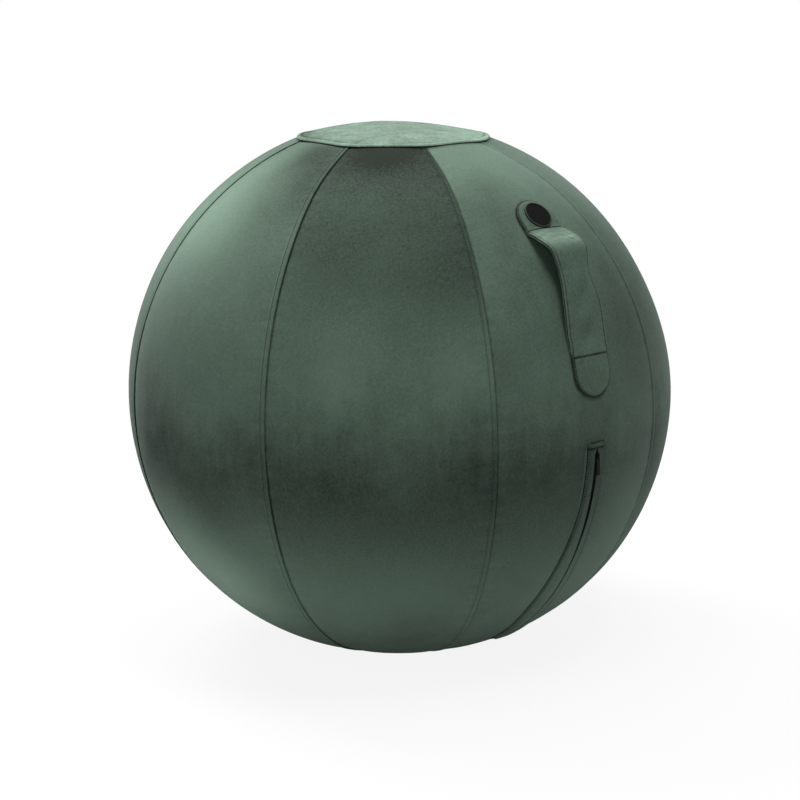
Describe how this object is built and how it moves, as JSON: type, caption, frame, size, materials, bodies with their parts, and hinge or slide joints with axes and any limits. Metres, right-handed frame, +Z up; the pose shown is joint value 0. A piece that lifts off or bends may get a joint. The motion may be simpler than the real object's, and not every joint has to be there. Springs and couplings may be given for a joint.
{
  "type": "sitting ball",
  "caption": "Inflated sitting ball in a zipped velvet cover of lapped gores, with a round crown patch, a bowed strap handle and a flat foot.",
  "frame": {"origin": "middle of the flat foot, on the floor", "axes": "+Z up along the ball's axis, -Y towards the strap handle and the zip"},
  "size_m": [0.65, 0.6553, 0.6302],
  "materials": {
    "velvet": "short-pile velvet with a soft sheen",
    "strap_velvet": "short-pile velvet, topstitched",
    "base_cloth": "coated non-slip cloth",
    "ball_pvc": "satin",
    "valve_plastic": "moulded",
    "zip_tape": "woven tape",
    "zip_teeth": "moulded",
    "zip_metal": "black lacquer",
    "badge_plastic": "satin moulded"
  },
  "bodies": {
    "ball": {"gore_1": "velvet", "gore_2": "velvet", "gore_3": "velvet", "gore_4": "velvet", "gore_5": "velvet", "gore_6": "velvet", "gore_7": "velvet", "gore_8": "velvet", "top_patch": "velvet", "zip_welt_left": "velvet", "zip_welt_right": "velvet", "handle_upper_tab": "strap_velvet", "handle_lower_tab": "strap_velvet", "base_patch": "base_cloth", "inner_ball": "ball_pvc", "valve_seat": "valve_plastic", "valve_plug": "valve_plastic", "zip_tape_left": "zip_tape", "zip_tape_right": "zip_tape", "zip_teeth_left": "zip_teeth", "zip_teeth_right": "zip_teeth", "zip_top_stop": "zip_teeth", "zip_bottom_stop": "zip_teeth", "badge": "badge_plastic"},
    "slider": {"zip_slider": "zip_metal"},
    "pull": {"zip_pull": "zip_metal"},
    "grip": {"handle_grip": "strap_velvet", "handle_grip_lining": "strap_velvet"}
  },
  "joints": [
    {"name": "zip_slide", "type": "hinge", "parent": "ball", "child": "slider", "pos_m": [0, -0.01415, 0.30606], "axis": [1, 0, 0], "range_deg": [0, 52.6]},
    {"name": "pull_swing", "type": "hinge", "parent": "slider", "child": "pull", "pos_m": [0, -0.32817, 0.28033], "axis": [1, 0, 0], "range_deg": [-160, 4]},
    {"name": "strap_swing", "type": "hinge", "parent": "ball", "child": "grip", "pos_m": [0, -0.25527, 0.52572], "axis": [0, -0.461, -0.8874], "range_deg": [-10, 10], "stiffness_Nm_per_rad": 0.02}
  ]
}
